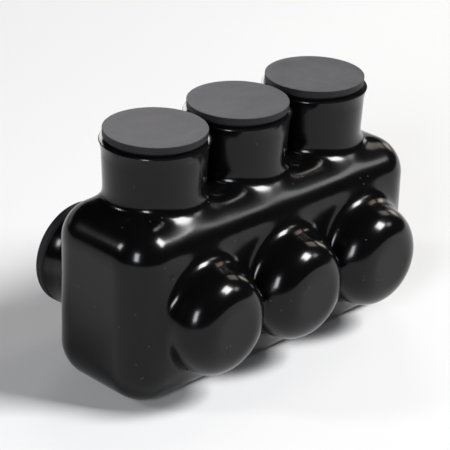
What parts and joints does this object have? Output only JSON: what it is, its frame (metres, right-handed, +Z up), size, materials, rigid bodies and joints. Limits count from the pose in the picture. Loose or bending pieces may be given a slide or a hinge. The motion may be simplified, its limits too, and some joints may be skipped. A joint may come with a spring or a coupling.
{
  "type": "insulated multi-tap cable connector",
  "caption": "Insulated multi-tap connector: a glossy dip-moulded jacket over a metal block, with plugged towers over its set screws, plugged cable collars behind and closed domes in front.",
  "frame": {"origin": "on the flat underside, below the middle of the body", "axes": "+X along the row of ports, +Y out of the cable collars at the rear, +Z up through the screw towers"},
  "size_m": [0.0848, 0.0506, 0.0564],
  "materials": {
    "jacket_black": "dip-moulded gloss",
    "plug_grey": "matte moulded",
    "block_metal": "machined",
    "screw_metal": "turned"
  },
  "bodies": {
    "connector": {"jacket": "jacket_black", "terminal_block": "block_metal"},
    "set_screw_1": {"set_screw_1": "screw_metal"},
    "screw_plug_1": {"screw_plug_1": "plug_grey"},
    "cable_plug_1": {"cable_plug_1": "plug_grey"},
    "set_screw_2": {"set_screw_2": "screw_metal"},
    "screw_plug_2": {"screw_plug_2": "plug_grey"},
    "cable_plug_2": {"cable_plug_2": "plug_grey"},
    "set_screw_3": {"set_screw_3": "screw_metal"},
    "screw_plug_3": {"screw_plug_3": "plug_grey"},
    "cable_plug_3": {"cable_plug_3": "plug_grey"}
  },
  "joints": [
    {"name": "set_screw_1_drive", "type": "slide", "parent": "connector", "child": "set_screw_1", "axis": [0, 0, -1], "range_m": [0, 0.012]},
    {"name": "screw_plug_1_pull", "type": "slide", "parent": "connector", "child": "screw_plug_1", "axis": [0, 0, 1], "range_m": [0, 0.02]},
    {"name": "cable_plug_1_pull", "type": "slide", "parent": "connector", "child": "cable_plug_1", "axis": [0, 1, 0], "range_m": [0, 0.06]},
    {"name": "set_screw_2_drive", "type": "slide", "parent": "connector", "child": "set_screw_2", "axis": [0, 0, -1], "range_m": [0, 0.012]},
    {"name": "screw_plug_2_pull", "type": "slide", "parent": "connector", "child": "screw_plug_2", "axis": [0, 0, 1], "range_m": [0, 0.02]},
    {"name": "cable_plug_2_pull", "type": "slide", "parent": "connector", "child": "cable_plug_2", "axis": [0, 1, 0], "range_m": [0, 0.06]},
    {"name": "set_screw_3_drive", "type": "slide", "parent": "connector", "child": "set_screw_3", "axis": [0, 0, -1], "range_m": [0, 0.012]},
    {"name": "screw_plug_3_pull", "type": "slide", "parent": "connector", "child": "screw_plug_3", "axis": [0, 0, 1], "range_m": [0, 0.02]},
    {"name": "cable_plug_3_pull", "type": "slide", "parent": "connector", "child": "cable_plug_3", "axis": [0, 1, 0], "range_m": [0, 0.06]}
  ]
}
